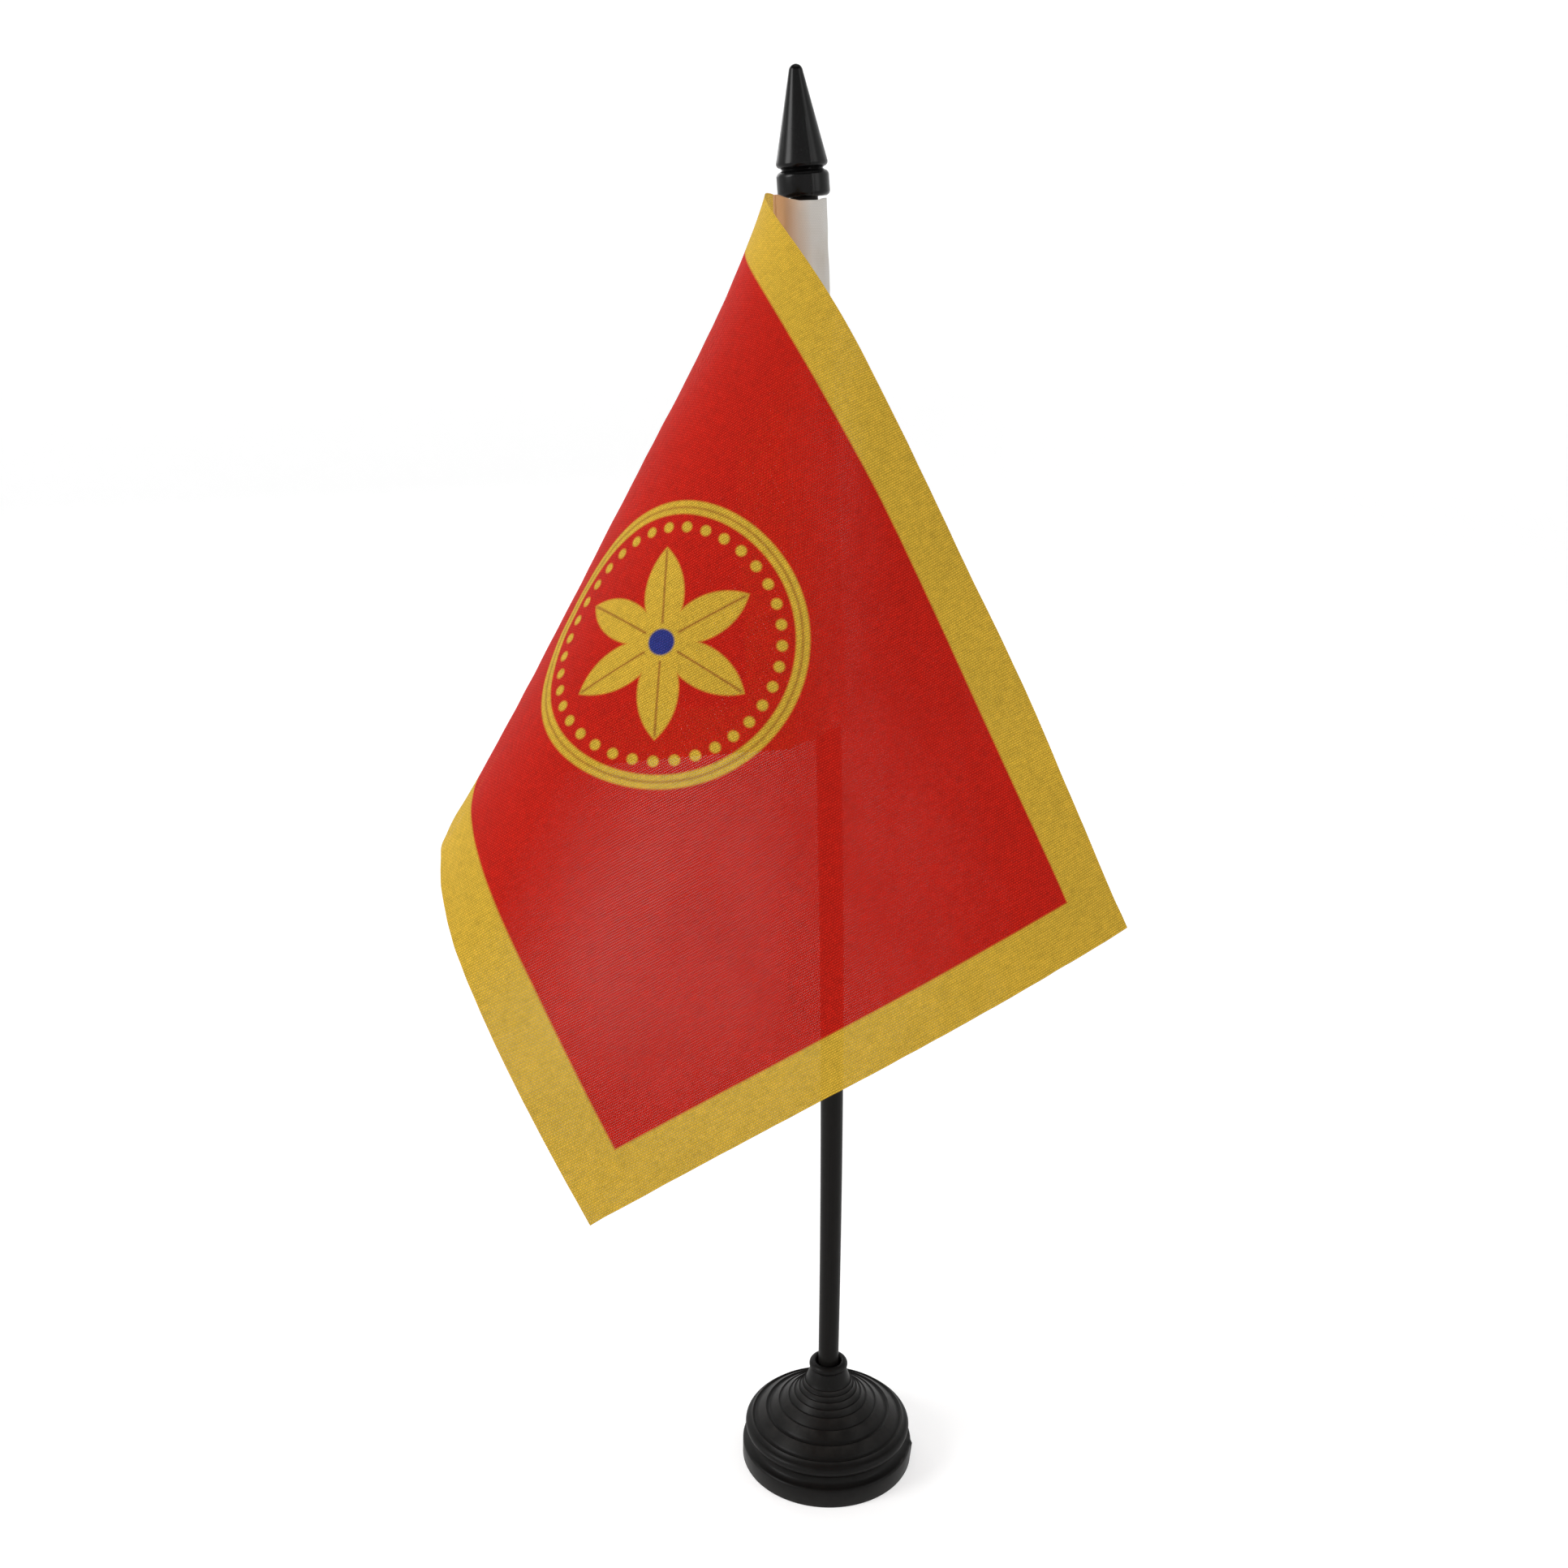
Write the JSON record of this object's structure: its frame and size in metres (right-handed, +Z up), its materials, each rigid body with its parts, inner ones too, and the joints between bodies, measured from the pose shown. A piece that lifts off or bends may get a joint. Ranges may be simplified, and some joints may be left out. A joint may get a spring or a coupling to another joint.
{
  "type": "desk flag stand",
  "caption": "Small table flag: a stepped round base holds a thin upright stick with a cone finial, and a cloth flag hangs from a hoist sleeve on the stick.",
  "frame": {"origin": "centre of the base's underside, on the flat end of the socket boss, in the plane that the stand rests on", "axes": "+Z up along the foot of the stick, -Y forwards, the side that the flag hangs to, +X to the right of a viewer in front"},
  "size_m": [0.1113, 0.1209, 0.2896],
  "materials": {
    "base_plastic": "satin",
    "stick_plastic": "satin",
    "finial_plastic": "gloss",
    "flag_cloth": "matte",
    "sleeve_cloth": "matte",
    "thread": "matte"
  },
  "bodies": {
    "base": {"base": "base_plastic"},
    "stick": {"stick": "stick_plastic"},
    "finial": {"finial": "finial_plastic"},
    "flag": {"flag": "flag_cloth", "sleeve": "sleeve_cloth", "seam_thread": "thread"}
  },
  "joints": [
    {"name": "stick_pull", "type": "slide", "parent": "base", "child": "stick", "axis": [0, 0, 1], "range_m": [0, 0.017]},
    {"name": "finial_pull", "type": "slide", "parent": "stick", "child": "finial", "axis": [-0.0855, 0, 0.9963], "range_m": [0, 0.01]},
    {"name": "flag_swivel", "type": "hinge", "parent": "stick", "child": "flag", "pos_m": [-0.00298, 0, 0.1705], "axis": [-0.0635, 0, 0.998], "continuous": true}
  ]
}
